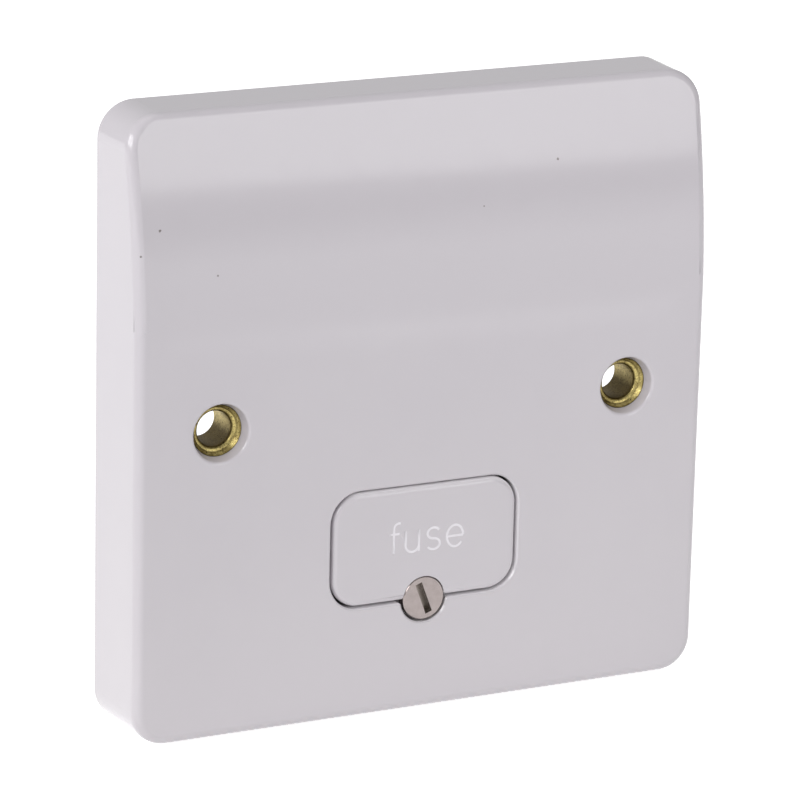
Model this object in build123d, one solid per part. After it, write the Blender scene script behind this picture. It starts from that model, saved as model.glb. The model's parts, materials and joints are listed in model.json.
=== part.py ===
"""Unswitched fused spur unit: a single-gang wall plate with a pull-out fuse carrier.

Millimetres. X runs to the right as the plate is seen on the wall, Y runs into the wall and Z runs up.
Every piece is drawn with Y at nought where the plate meets the wall, and moved as it is written, so
that the origin is midway between the two fixing holes, level with the rear ends of their eyelets.
"""

from build123d import *
from math import cos, radians, sin, sqrt
import os

# Front plate
plate_width = 85.0
plate_height = 85.0
plate_depth = 12.8
plate_corner_radius = 5.0
plate_edge_radius = 1.3
plate_draft = 1.8
plate_side_wall = 2.2
plate_face_wall = 2.8
top_curve_start = 9.0
top_curve_radius = 130.0
side_curve_start = 35.0
side_curve_radius = 150.0
aperture_edge = 0.2

# Fixing holes and their brass eyelets
fixing_spacing = 60.3
fixing_hole_radius = 4.0
fixing_hole_edge_radius = 0.45
eyelet_recess = 1.55
eyelet_length = 6.25
eyelet_head_radius = 3.5
eyelet_head_length = 1.8
eyelet_ring_width = 0.5
eyelet_ring_fall = 0.55
eyelet_mouth_fall = 0.1
eyelet_mouth_radius = 0.7
eyelet_bore_radius = 2.4
eyelet_barrel_wall = 0.55
eyelet_rim_radius = 3.6
eyelet_rim_length = 0.5
eyelet_rim_edge = 0.2
eyelet_boss_wall = 2.0

# General fits
seat_gap = 0.1
running_gap = 0.05

# Fuse carrier door and the way it sits in the plate
door_width = 27.4
door_height = 15.8
door_corner_radius = 4.0
door_centre_z = -18.55
door_thickness = 2.6
door_gap = 0.35
door_edge_radius = 0.8
notch_tip_radius = 0.35

# Captive screw of the carrier
carrier_screw_head_radius = 3.05
carrier_screw_head_length = 1.6
carrier_screw_head_edge = 0.15
carrier_screw_radius = 1.5
carrier_screw_length = 10.9
carrier_screw_slot_length = 4.5
carrier_screw_slot_width = 1.0
carrier_screw_slot_depth = 1.15
carrier_screw_slot_lean = 21.0
screw_lug_thickness = 2.0
retaining_ring_radius = 2.6
retaining_ring_thickness = 0.6
ring_groove_depth = 0.3
insert_wall = 1.1
insert_length = 6.5
insert_boss_wall = 1.7

# Cartridge fuse
fuse_length = 25.4
fuse_cap_radius = 3.15
fuse_cap_length = 5.6
fuse_cap_wall = 0.3
fuse_tube_radius = 2.85
fuse_axis_y = -4.6
fuse_axis_z = -16.6

# Cradle behind the door
cradle_length = 13.8
cradle_height = 9.2
cradle_rear_y = -2.4
cradle_mouth = 5.2
leg_thickness = 1.1
leg_rear_y = 3.0

# Spring clips that the fuse caps push into
clip_thickness = 0.6
clip_width = 4.0
clip_inset = 0.4
clip_lip_length = 1.4
clip_lip_angle = 32.0
clip_mouth_y = -7.4
clip_tail_width = 5.4

# Terminal blocks, their screws and the rear moulding around them
strap_thickness = 0.8
terminal_width = 7.4
terminal_depth = 9.0
terminal_height = 9.0
terminal_pitch = 8.6
terminal_bore_radius = 2.1
terminal_bore_inset = 3.9
terminal_edge = 0.4
line_terminal_x = 19.6
twin_terminal_x = 12.4
stake_radius = 1.3
stake_length = 1.3
terminal_screw_radius = 1.7
terminal_screw_head_radius = 2.6
terminal_screw_head_length = 1.8
terminal_screw_travel = 3.9
terminal_screw_tip_chamfer = 0.4
terminal_screw_slot_width = 0.8
terminal_screw_slot_depth = 1.0
terminal_screw_lean = 35.0
terminal_screw_lean_step = 4.0
screw_tip_clearance = 0.2
screw_access_radius = 2.9

# Rear moulding
base_width = 49.6
base_height = 66.0
base_corner_radius = 2.5
base_wall = 1.6
base_deck_thickness = 2.0
base_deck_setback = 0.5
base_rear_y = 15.5
terminal_wall = 1.8
well_gap = 0.15
cable_entry_width = 5.4
bay_wall = 1.3
bay_side_gap = 0.5
bay_end_gap = 0.8
bay_floor_y = 4.5
bay_floor_thickness = 1.5
bay_seat_width = 3.0
deck_rib_thickness = 1.4
deck_rib_height = 3.0
deck_rib_x = 10.0

# Screws that hold the rear moulding to the plate
assembly_screw_x = 20.0
assembly_screw_upper_z = 9.5
assembly_screw_lower_z = -7.5
assembly_screw_radius = 1.45
assembly_screw_head_radius = 2.9
assembly_screw_head_length = 1.9
assembly_screw_crown_radius = 2.3
assembly_screw_tip_radius = 0.7
assembly_screw_grip = 6.5
assembly_boss_wall = 1.7

# Earth strap between the eyelets and the earth block
earth_strap_width = 6.0
earth_strap_side_gap = 0.6
earth_ring_width = 1.9
earth_tail_width = 6.0
earth_tail_bend_z = 4.5
earth_tail_slant = 3.0
earth_tail_bend_radius = 1.0

# Stiffening ribs inside the plate
plate_rib_thickness = 1.3
plate_rib_height = 2.4
plate_rib_x = 20.0

# Planes that several pieces share
face_y = -plate_depth
inner_face_y = face_y + plate_face_wall
deck_y = -base_deck_setback
clip_web_y = deck_y - clip_thickness
base_front_y = inner_face_y + seat_gap
base_deck_rear_y = deck_y + base_deck_thickness
eyelet_lip_y = face_y + eyelet_recess
eyelet_seat_y = eyelet_lip_y + eyelet_head_length
eyelet_rear_y = eyelet_lip_y + eyelet_length
strap_rear_y = eyelet_rear_y - eyelet_rim_length
strap_front_y = strap_rear_y - strap_thickness
eyelet_barrel_radius = eyelet_bore_radius + eyelet_barrel_wall
fixing_x = fixing_spacing / 2
door_bottom_z = door_centre_z - door_height / 2
door_rear_y = face_y + door_thickness
carrier_screw_seat_y = face_y + carrier_screw_head_length
screw_lug_rear_y = carrier_screw_seat_y + screw_lug_thickness
screw_lug_radius = carrier_screw_head_radius + running_gap
screw_notch_radius = carrier_screw_head_radius + door_gap
insert_front_y = screw_lug_rear_y + 2 * seat_gap + retaining_ring_thickness + clip_thickness
insert_bore_radius = carrier_screw_radius + running_gap
insert_radius = insert_bore_radius + insert_wall
terminal_bore_y = deck_y + terminal_bore_inset
terminal_rear_y = deck_y + terminal_depth
terminal_outer_z = base_height / 2 - terminal_wall
terminal_centre_z = terminal_outer_z - well_gap - terminal_height / 2
terminal_screw_tip_y = terminal_bore_y + terminal_bore_radius + screw_tip_clearance
terminal_screw_seat_y = terminal_rear_y + terminal_screw_travel + screw_tip_clearance
bay_half_width = max(door_width, fuse_length) / 2 + bay_side_gap
bay_top_z = door_centre_z + door_height / 2 + bay_end_gap
insert_boss_radius = insert_radius + insert_boss_wall
bay_bottom_z = door_bottom_z - insert_boss_radius
assembly_places = [
    (side * assembly_screw_x, height)
    for side in (-1, 1)
    for height in (assembly_screw_upper_z, assembly_screw_lower_z)
]
twin_places = [twin_terminal_x - terminal_pitch / 2, twin_terminal_x + terminal_pitch / 2]


def block(x, y, z):
    """A box between two bounds on each axis."""
    middle = Pos((x[0] + x[1]) / 2, (y[0] + y[1]) / 2, (z[0] + z[1]) / 2)
    return middle * Box(x[1] - x[0], y[1] - y[0], z[1] - z[0])


def peg(radius, x, z, y_from, y_to):
    """A round bar along Y."""
    length = abs(y_to - y_from)
    return Pos(x, (y_from + y_to) / 2, z) * Rot(90, 0, 0) * Cylinder(radius, length)


def upright(radius, x, y, z_from, z_to):
    """A round bar along Z."""
    length = abs(z_to - z_from)
    return Pos(x, y, (z_from + z_to) / 2) * Cylinder(radius, length)


def flat(sketch, y_from, y_to):
    """A sketch drawn as seen from the front, given thickness from one depth to another."""
    front, back = min(y_from, y_to), max(y_from, y_to)
    return Pos(0, back, 0) * extrude(Plane.XZ * sketch, amount=back - front)


def turned(points, x, z):
    """A solid of revolution about a line along Y, from (radius, y) points."""
    profile = make_face(Polyline(*[(radius, y, 0) for radius, y in points], close=True))
    return Pos(x, 0, z) * revolve(profile, Axis.Y)


def slot_cut(length, width, x, z, y_from, y_to, lean):
    """A screwdriver slot whose upper end leans to the left by the given angle."""
    return flat(Pos(x, z) * Rot(0, 0, lean) * Rectangle(width, length), y_from, y_to)


def both_sides(shape):
    """A shape and its mirror image across the middle of the plate."""
    return shape + mirror(shape, about=Plane.YZ)


def outer_edges(faces):
    """The edges that belong to only one face of a group."""
    return [
        edge
        for face in faces
        for edge in face.edges()
        if sum(edge in other.edges() for other in faces) == 1
    ]


def domed_block(side_inset, face_inset):
    """The plate's form: drafted walls, a face that curves back at the top and a little at the sides."""
    width = plate_width - 2 * side_inset
    height = plate_height - 2 * side_inset
    depth = plate_depth - face_inset
    overlap = 1.0
    outline = Plane.XZ * RectangleRounded(width, height, plate_corner_radius - side_inset)
    walls = extrude(outline, amount=depth, taper=plate_draft)

    top_radius = top_curve_radius - face_inset
    top_z = plate_height / 2 + overlap
    top_fall = top_radius - sqrt(top_radius**2 - (top_z - top_curve_start) ** 2)
    curve_foot = (0, -depth, top_curve_start)
    curve_head = (0, top_fall - depth, top_z)
    side_profile = make_face(
        [
            Line((0, overlap, -top_z), (0, -depth, -top_z)),
            Line((0, -depth, -top_z), curve_foot),
            TangentArc(curve_foot, curve_head, tangent=(0, 0, 1)),
            Line(curve_head, (0, overlap, top_z)),
            Line((0, overlap, top_z), (0, overlap, -top_z)),
        ]
    )
    top_form = extrude(side_profile, amount=plate_width, both=True)

    side_radius = side_curve_radius - face_inset
    side_x = plate_width / 2 + overlap
    side_fall = side_radius - sqrt(side_radius**2 - (side_x - side_curve_start) ** 2)
    corners = [(side * side_x, side_fall - depth, 0) for side in (-1, 1)]
    feet = [(side * side_curve_start, -depth, 0) for side in (-1, 1)]
    top_profile = make_face(
        [
            TangentArc(feet[0], corners[0], tangent=(-1, 0, 0)),
            Line(feet[0], feet[1]),
            TangentArc(feet[1], corners[1], tangent=(1, 0, 0)),
            Line(corners[1], (side_x, overlap, 0)),
            Line((side_x, overlap, 0), (-side_x, overlap, 0)),
            Line((-side_x, overlap, 0), corners[0]),
        ]
    )
    side_form = extrude(top_profile, amount=plate_height, both=True)
    return walls & top_form & side_form


def door_outline(grown):
    """The door's outline, grown all round."""
    return Pos(0, door_centre_z) * RectangleRounded(
        door_width + 2 * grown, door_height + 2 * grown, door_corner_radius + grown
    )


def aperture_outline():
    """The opening for the door, with the round notch for the screw's head."""
    screw_centre = Vector(0, door_bottom_z, 0)
    joined = door_outline(door_gap) + Pos(0, door_bottom_z) * Circle(screw_notch_radius)
    tips = joined.vertices().sort_by_distance(screw_centre)[:2]
    return fillet(tips, notch_tip_radius)


def front_plate():
    """The moulded plate, open at the back, with bosses for the eyelets and the rear moulding."""
    outer = domed_block(0, 0)
    front_faces = [f for f in outer.faces() if f.normal_at().Y < -0.7]
    outer = fillet(outer_edges(front_faces), plate_edge_radius)
    plate = outer - domed_block(plate_side_wall, plate_face_wall)

    buried = plate_face_wall / 2
    boss_front_y = inner_face_y - buried
    eyelet_boss_radius = eyelet_barrel_radius + eyelet_boss_wall
    plate += both_sides(peg(eyelet_boss_radius, fixing_x, 0, boss_front_y, strap_front_y))
    boss_radius = assembly_screw_radius + assembly_boss_wall
    for x, z in assembly_places:
        plate += peg(boss_radius, x, z, boss_front_y, deck_y - seat_gap)
    plate += plate_ribs(eyelet_boss_radius)

    plate -= both_sides(fixing_hole())
    plate -= flat(aperture_outline(), face_y, inner_face_y + 1)
    for x, z in assembly_places:
        plate -= peg(
            assembly_screw_radius + running_gap, x, z, deck_y, deck_y - assembly_screw_grip - seat_gap
        )
    aperture_rims = [rim for rim in front_rims(plate) if abs(rim.center().X) < fixing_x / 2]
    return chamfer([edge for rim in aperture_rims for edge in rim.edges()], aperture_edge)


def fixing_hole():
    """The right-hand hole: it narrows from a rounded rim to the eyelet's head, then to its barrel."""
    head_room = eyelet_head_radius + running_gap
    barrel_room = eyelet_barrel_radius + running_gap
    rim = (fixing_hole_radius, face_y)
    clear_radius = fixing_hole_radius + 2 * fixing_hole_edge_radius
    clear_y = face_y - fixing_hole_edge_radius
    profile = make_face(
        Polyline(
            (0, clear_y),
            (clear_radius, clear_y),
            (clear_radius, face_y),
            rim,
            (head_room, eyelet_lip_y),
            (head_room, eyelet_seat_y),
            (barrel_room, eyelet_seat_y),
            (barrel_room, 0),
            (0, 0),
            close=True,
        )
    )
    profile = fillet(profile.vertices().sort_by_distance(rim)[0], fixing_hole_edge_radius)
    return Pos(fixing_x, 0, 0) * revolve(profile, Axis.Y)


def front_rims(plate):
    """The rims of the openings in the flat of the face."""
    flat_faces = plate.faces().filter_by(Axis.Y).group_by(Axis.Y)[0]
    return flat_faces.sort_by(SortBy.AREA)[-1].inner_wires()


def plate_ribs(boss_radius):
    """Low ribs on the inside of the face: above and below the rear moulding, and beside each eyelet boss."""
    wall_x = plate_width / 2
    wall_z = plate_height / 2
    half = plate_rib_thickness / 2
    depth = (face_y, 0)
    ribs = both_sides(block((fixing_x + boss_radius - half, wall_x), depth, (-half, half)))
    inner_z = base_height / 2 + seat_gap
    for near, far in ((inner_z, wall_z), (-wall_z, -inner_z)):
        ribs += both_sides(block((plate_rib_x - half, plate_rib_x + half), depth, (near, far)))
    band = domed_block(plate_side_wall / 2, plate_face_wall / 2)
    return ribs & (band - domed_block(0, plate_face_wall + plate_rib_height))


def eyelet(x):
    """A turned brass bush: a sloping outer ring, a rounded mouth and a tail rolled over the earth strap."""
    ring_radius = eyelet_head_radius - eyelet_ring_width
    ring_y = eyelet_lip_y + eyelet_ring_fall
    mouth = (eyelet_bore_radius, ring_y + eyelet_mouth_fall)
    profile = make_face(
        Polyline(
            (ring_radius, ring_y),
            (eyelet_head_radius, eyelet_lip_y),
            (eyelet_head_radius, eyelet_seat_y),
            (eyelet_barrel_radius, eyelet_seat_y),
            (eyelet_barrel_radius, strap_rear_y),
            (eyelet_rim_radius, strap_rear_y),
            (eyelet_rim_radius, eyelet_rear_y - eyelet_rim_edge),
            (eyelet_rim_radius - eyelet_rim_edge, eyelet_rear_y),
            (eyelet_bore_radius, eyelet_rear_y),
            mouth,
            close=True,
        )
    )
    profile = fillet(profile.vertices().sort_by_distance(mouth)[0], eyelet_mouth_radius)
    return Pos(x, 0, 0) * revolve(profile, Axis.Y)


def earth_strap():
    """A flat strip from eyelet to eyelet, with a tail bent back and up to the earth block."""
    ring_radius = eyelet_barrel_radius + running_gap + earth_ring_width
    outline = Rectangle(fixing_spacing, earth_strap_width)
    for side in (-1, 1):
        outline += Pos(side * fixing_x, 0) * Circle(ring_radius)
    outline &= Rectangle(plate_width - 2 * (plate_side_wall + earth_strap_side_gap), 2 * ring_radius)
    for side in (-1, 1):
        outline -= Pos(side * fixing_x, 0) * Circle(eyelet_barrel_radius + running_gap)
    strip = flat(outline, strap_front_y, strap_rear_y)

    front_y = strap_front_y + strap_thickness / 2
    rear_y = deck_y - strap_thickness / 2
    path = FilletPolyline(
        (front_y, 0),
        (front_y, earth_tail_bend_z),
        (rear_y, earth_tail_bend_z + earth_tail_slant),
        (rear_y, terminal_centre_z + terminal_height / 4),
        radius=earth_tail_bend_radius,
    )
    side_view = Plane.YZ * trace(path, strap_thickness)
    tail = Pos(twin_terminal_x, 0, 0) * extrude(side_view, amount=earth_tail_width / 2, both=True)
    tail = fillet(tail.edges().filter_by(Axis.Y).group_by(Axis.Z)[-1], earth_tail_width / 6)
    tail -= peg(
        stake_radius + running_gap, twin_terminal_x, terminal_centre_z, deck_y - strap_thickness, deck_y
    )
    return strip + tail


def terminal_body(bores, centre_z, staked):
    """A brass block with one upright bore and one tapped hole for each conductor."""
    middle_x = (bores[0] + bores[-1]) / 2
    half = (bores[-1] - bores[0] + terminal_width) / 2
    half_z = terminal_height / 2
    body = block(
        (middle_x - half, middle_x + half),
        (deck_y, terminal_rear_y),
        (centre_z - half_z, centre_z + half_z),
    )
    body = chamfer(body.edges().filter_by(Axis.Z), terminal_edge)
    for x in bores:
        body -= upright(
            terminal_bore_radius, x, terminal_bore_y, centre_z - half_z, centre_z + half_z
        )
        body -= peg(
            terminal_screw_radius + running_gap, x, centre_z, terminal_bore_y, terminal_rear_y
        )
    if staked:
        body += peg(stake_radius, middle_x, centre_z, deck_y - stake_length, deck_y + terminal_edge)
    return body


def terminal_screw(x, z):
    """A slotted clamp screw, backed out as it is supplied."""
    screw = turned(
        [
            (0, terminal_screw_tip_y),
            (terminal_screw_radius - terminal_screw_tip_chamfer, terminal_screw_tip_y),
            (terminal_screw_radius, terminal_screw_tip_y + terminal_screw_tip_chamfer),
            (terminal_screw_radius, terminal_screw_seat_y),
            (terminal_screw_head_radius, terminal_screw_seat_y),
            (terminal_screw_head_radius, terminal_screw_seat_y + terminal_screw_head_length),
            (0, terminal_screw_seat_y + terminal_screw_head_length),
        ],
        x,
        z,
    )
    head_rear_y = terminal_screw_seat_y + terminal_screw_head_length
    lean = terminal_screw_lean + terminal_screw_lean_step * x
    return screw - slot_cut(
        3 * terminal_screw_head_radius,
        terminal_screw_slot_width,
        x,
        z,
        head_rear_y - terminal_screw_slot_depth,
        head_rear_y,
        lean,
    )


def fuse_clip():
    """The right-hand clip: two leaves around the fuse cap, and a tail to the load terminal."""
    inner_x = fuse_length / 2 - clip_inset - clip_width
    outer_x = fuse_length / 2 - clip_inset
    gap_half = fuse_cap_radius + running_gap
    clip = block(
        (inner_x, outer_x),
        (clip_web_y, deck_y),
        (fuse_axis_z - gap_half - clip_thickness, fuse_axis_z + gap_half + clip_thickness),
    )
    lip = radians(clip_lip_angle)
    for side in (-1, 1):
        near = fuse_axis_z + side * gap_half
        far = near + side * clip_thickness
        out = side * clip_lip_length * sin(lip)
        lip_y = clip_mouth_y - clip_lip_length * cos(lip)
        leaf = make_face(
            Polyline(
                (inner_x, deck_y, near),
                (inner_x, clip_mouth_y, near),
                (inner_x, lip_y, near + out),
                (inner_x, lip_y, far + out),
                (inner_x, clip_mouth_y, far),
                (inner_x, deck_y, far),
                close=True,
            )
        )
        clip += extrude(leaf, amount=clip_width, dir=(1, 0, 0))
    tail_half = clip_tail_width / 2
    block_z = -terminal_centre_z
    tail = block(
        (outer_x - clip_width / 2, line_terminal_x + tail_half),
        (clip_web_y, deck_y),
        (fuse_axis_z - tail_half, fuse_axis_z + tail_half),
    )
    tail += block(
        (line_terminal_x - tail_half, line_terminal_x + tail_half),
        (clip_web_y, deck_y),
        (block_z - terminal_height / 4, fuse_axis_z),
    )
    tail -= peg(stake_radius + running_gap, line_terminal_x, block_z, clip_web_y, deck_y)
    return clip + tail


def fuse_tube():
    """The fuse's ceramic tube, closed by its caps."""
    length = fuse_length - 2 * fuse_cap_wall - 2 * running_gap
    return Pos(0, fuse_axis_y, fuse_axis_z) * Rot(0, 90, 0) * Cylinder(fuse_tube_radius, length)


def fuse_cap(side):
    """A pressed metal cap over one end of the tube."""
    centre_x = side * (fuse_length - fuse_cap_length) / 2
    shell = Pos(centre_x, fuse_axis_y, fuse_axis_z) * Rot(0, 90, 0) * Cylinder(
        fuse_cap_radius, fuse_cap_length
    )
    end_edge = shell.edges().filter_by(GeomType.CIRCLE).sort_by(Axis.X)[-1 if side > 0 else 0]
    shell = chamfer(end_edge, fuse_cap_wall)
    hollow = Pos(centre_x - side * fuse_cap_wall, fuse_axis_y, fuse_axis_z) * Rot(0, 90, 0) * Cylinder(
        fuse_tube_radius + running_gap, fuse_cap_length
    )
    return shell - hollow


def fuse_carrier():
    """The door with the screw's lug below it and, behind it, the cradle that holds the fuse."""
    door = flat(door_outline(0), face_y, door_rear_y)
    door = fillet(door.faces().sort_by(Axis.Y)[0].edges(), door_edge_radius)
    door -= peg(carrier_screw_head_radius + running_gap, 0, door_bottom_z, face_y, carrier_screw_seat_y)
    door += peg(screw_lug_radius, 0, door_bottom_z, carrier_screw_seat_y, screw_lug_rear_y)
    door -= peg(
        carrier_screw_radius + 2 * running_gap, 0, door_bottom_z, carrier_screw_seat_y, screw_lug_rear_y
    )
    door += cradle()
    return door


def cradle():
    """A trough that opens to the rear, with four legs that guide the carrier home."""
    half = cradle_length / 2
    low, high = fuse_axis_z - cradle_height / 2, fuse_axis_z + cradle_height / 2
    trough = block((-half, half), (carrier_screw_seat_y, cradle_rear_y), (low, high))
    for side in (-1, 1):
        near, far = sorted((side * half, side * (half - leg_thickness)))
        trough += block((near, far), (cradle_rear_y - leg_thickness, leg_rear_y), (low, high))
    channel = Pos(0, fuse_axis_y, fuse_axis_z) * Rot(0, 90, 0) * Cylinder(
        fuse_tube_radius + running_gap, cradle_length
    )
    mouth = block(
        (-half, half),
        (fuse_axis_y, leg_rear_y),
        (fuse_axis_z - cradle_mouth / 2, fuse_axis_z + cradle_mouth / 2),
    )
    trough -= channel + mouth
    bare_half = fuse_length / 2 - fuse_cap_length - seat_gap
    for side in (-1, 1):
        cap_middle = Pos(side * (bare_half + fuse_cap_length / 2), fuse_axis_y, fuse_axis_z)
        trough -= cap_middle * Rot(0, 90, 0) * Cylinder(fuse_cap_radius + running_gap, fuse_cap_length)
    return trough


def carrier_screw():
    """The captive screw: a flat head with a closed slot, and a groove for its retaining ring."""
    groove_front_y = screw_lug_rear_y + seat_gap
    groove_rear_y = groove_front_y + retaining_ring_thickness + seat_gap
    root = carrier_screw_radius - ring_groove_depth
    tip_y = carrier_screw_seat_y + carrier_screw_length
    screw = turned(
        [
            (0, face_y),
            (carrier_screw_head_radius - carrier_screw_head_edge, face_y),
            (carrier_screw_head_radius, face_y + carrier_screw_head_edge),
            (carrier_screw_head_radius, carrier_screw_seat_y),
            (carrier_screw_radius, carrier_screw_seat_y),
            (carrier_screw_radius, groove_front_y),
            (root, groove_front_y),
            (root, groove_rear_y),
            (carrier_screw_radius, groove_rear_y),
            (carrier_screw_radius, tip_y - ring_groove_depth),
            (root, tip_y),
            (0, tip_y),
        ],
        0,
        door_bottom_z,
    )
    return screw - slot_cut(
        carrier_screw_slot_length,
        carrier_screw_slot_width,
        0,
        door_bottom_z,
        face_y,
        face_y + carrier_screw_slot_depth,
        carrier_screw_slot_lean,
    )


def retaining_ring():
    """The split ring that keeps the screw in the carrier."""
    front_y = screw_lug_rear_y + seat_gap + seat_gap / 2
    rear_y = front_y + retaining_ring_thickness
    root = carrier_screw_radius - ring_groove_depth
    ring = peg(retaining_ring_radius, 0, door_bottom_z, front_y, rear_y)
    ring -= peg(root + running_gap, 0, door_bottom_z, front_y, rear_y)
    split = block(
        (-root, root), (front_y, rear_y), (door_bottom_z - retaining_ring_radius, door_bottom_z)
    )
    return ring - split


def screw_insert():
    """The brass insert that the captive screw bites into."""
    insert = peg(insert_radius, 0, door_bottom_z, insert_front_y, insert_front_y + insert_length)
    return insert - peg(
        insert_bore_radius, 0, door_bottom_z, insert_front_y, insert_front_y + insert_length
    )


def assembly_screws():
    """The four screws that hold the rear moulding to the plate."""
    tip_y = deck_y - assembly_screw_grip
    screws = Part()
    for x, z in assembly_places:
        head_rear_y = base_deck_rear_y + seat_gap + assembly_screw_head_length
        screws += turned(
            [
                (0, tip_y),
                (assembly_screw_tip_radius, tip_y),
                (assembly_screw_radius, tip_y + assembly_screw_radius),
                (assembly_screw_radius, base_deck_rear_y + seat_gap),
                (assembly_screw_head_radius, base_deck_rear_y + seat_gap),
                (assembly_screw_crown_radius, head_rear_y),
                (0, head_rear_y),
            ],
            x,
            z,
        )
    return screws


def terminal_well(bores, centre_z):
    """The space for one block, its screws and its cable entries."""
    half = (bores[-1] - bores[0] + terminal_width) / 2 + well_gap
    middle_x = (bores[0] + bores[-1]) / 2
    half_z = terminal_height / 2 + well_gap
    well = block(
        (middle_x - half, middle_x + half),
        (deck_y - 1, terminal_rear_y + well_gap),
        (centre_z - half_z, centre_z + half_z),
    )
    outward = 1 if centre_z > 0 else -1
    near, far = sorted((centre_z, outward * (base_height / 2 + 1)))
    for x in bores:
        well += peg(screw_access_radius, x, centre_z, terminal_rear_y, base_rear_y + 1)
        well += upright(cable_entry_width / 2, x, terminal_bore_y, near, far)
        well += block(
            (x - cable_entry_width / 2, x + cable_entry_width / 2),
            (terminal_bore_y, terminal_rear_y + well_gap),
            (near, far),
        )
    return well


def fuse_bay():
    """The shaft that takes the carrier, as the walls to add to the moulding and the rooms to cut from it."""
    outer = block(
        (-bay_half_width - bay_wall, bay_half_width + bay_wall),
        (base_front_y, base_deck_rear_y),
        (bay_bottom_z - bay_wall, bay_top_z + bay_wall),
    )
    inner = block(
        (-bay_half_width, bay_half_width), (base_front_y - 1, deck_y), (bay_bottom_z, bay_top_z)
    )
    leg_half = cradle_length / 2 + bay_side_gap
    pocket_half = cradle_height / 2 + bay_side_gap
    sump = block(
        (-leg_half - bay_floor_thickness, leg_half + bay_floor_thickness),
        (deck_y, bay_floor_y + bay_floor_thickness),
        (fuse_axis_z - pocket_half - bay_floor_thickness, fuse_axis_z + pocket_half + bay_floor_thickness),
    )
    sump_room = block(
        (-leg_half, leg_half),
        (deck_y - 1, bay_floor_y),
        (fuse_axis_z - pocket_half, fuse_axis_z + pocket_half),
    )
    boss_front_y = screw_lug_rear_y + seat_gap
    boss = peg(insert_boss_radius, 0, door_bottom_z, boss_front_y, base_deck_rear_y)
    ring_room = peg(
        retaining_ring_radius + seat_gap, 0, door_bottom_z, boss_front_y, insert_front_y
    )
    insert_rear_y = insert_front_y + insert_length
    insert_room = peg(
        insert_radius + running_gap / 2, 0, door_bottom_z, insert_front_y, insert_rear_y
    )
    seats = both_sides(
        block(
            (bay_half_width - bay_seat_width, bay_half_width),
            (base_front_y, deck_y),
            (bay_top_z - 2 * bay_end_gap, bay_top_z),
        )
    )
    tip_room = peg(
        carrier_screw_radius + screw_tip_clearance, 0, door_bottom_z, insert_rear_y,
        carrier_screw_seat_y + carrier_screw_length + screw_tip_clearance,
    )
    walls = (outer - inner) + sump + seats + boss
    return walls, sump_room + ring_room + insert_room + tip_room


def behind_the_face():
    """The plate's own thickness with a seat gap, so that the moulding's rim follows the curved face."""
    slab = block((-base_width, base_width), (face_y, deck_y), (-base_height, base_height))
    return slab - domed_block(plate_side_wall / 2, plate_face_wall + seat_gap)


def rear_moulding():
    """The insulating body behind the plate, with wells for the terminals and the fuse bay."""
    half_x, half_z = base_width / 2, base_height / 2
    outline = RectangleRounded(base_width, base_height, base_corner_radius)
    inside = RectangleRounded(
        base_width - 2 * base_wall, base_height - 2 * base_wall, base_corner_radius - base_wall / 2
    )
    body = flat(outline, base_front_y, base_deck_rear_y) - flat(inside, base_front_y - 1, deck_y)
    bay_walls, bay_rooms = fuse_bay()
    body += bay_walls
    body -= bay_rooms

    row_bottom_z = terminal_centre_z - terminal_height / 2 - well_gap - terminal_wall
    row = block((-half_x, half_x), (deck_y, base_rear_y), (row_bottom_z, half_z))
    row = fillet(row.edges().filter_by(Axis.Y).group_by(Axis.Z)[-1], base_corner_radius)
    tower_inner_x = line_terminal_x - terminal_width / 2 - well_gap - terminal_wall
    tower = block((tower_inner_x, half_x), (deck_y, base_rear_y), (-half_z, -row_bottom_z))
    tower = fillet(
        tower.edges().filter_by(Axis.Y).group_by(Axis.Z)[0].sort_by(Axis.X)[-1], base_corner_radius
    )
    body += row
    body += both_sides(tower)

    rib_half = deck_rib_thickness / 2
    rib_bottom_z = fuse_axis_z + cradle_height / 2
    body += both_sides(
        block(
            (deck_rib_x - rib_half, deck_rib_x + rib_half),
            (base_deck_rear_y - 1, base_deck_rear_y + deck_rib_height),
            (rib_bottom_z, row_bottom_z + 1),
        )
    )

    body -= terminal_well([-x for x in reversed(twin_places)], terminal_centre_z)
    body -= terminal_well(twin_places, terminal_centre_z)
    for side in (-1, 1):
        body -= terminal_well([side * line_terminal_x], -terminal_centre_z)

    slot_half = earth_strap_width / 2 + well_gap
    body -= block((-half_x - 1, half_x + 1), (face_y, strap_rear_y), (-slot_half, slot_half))
    tail_half = clip_tail_width / 2 + well_gap
    body -= both_sides(
        block(
            (bay_half_width - 1, bay_half_width + bay_wall + 1),
            (clip_web_y - seat_gap, deck_y),
            (fuse_axis_z - tail_half, fuse_axis_z + tail_half),
        )
    )
    for x, z in assembly_places:
        body -= peg(assembly_screw_radius + seat_gap, x, z, deck_y - 1, base_deck_rear_y)
    return body - behind_the_face()


def write(name, shape):
    """Writes one piece as a STEP file, moved so that the eyelets' rear ends are level with the origin."""
    export_step(Pos(0, -eyelet_rear_y, 0) * shape, f"parts/{name}.step")


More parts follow.
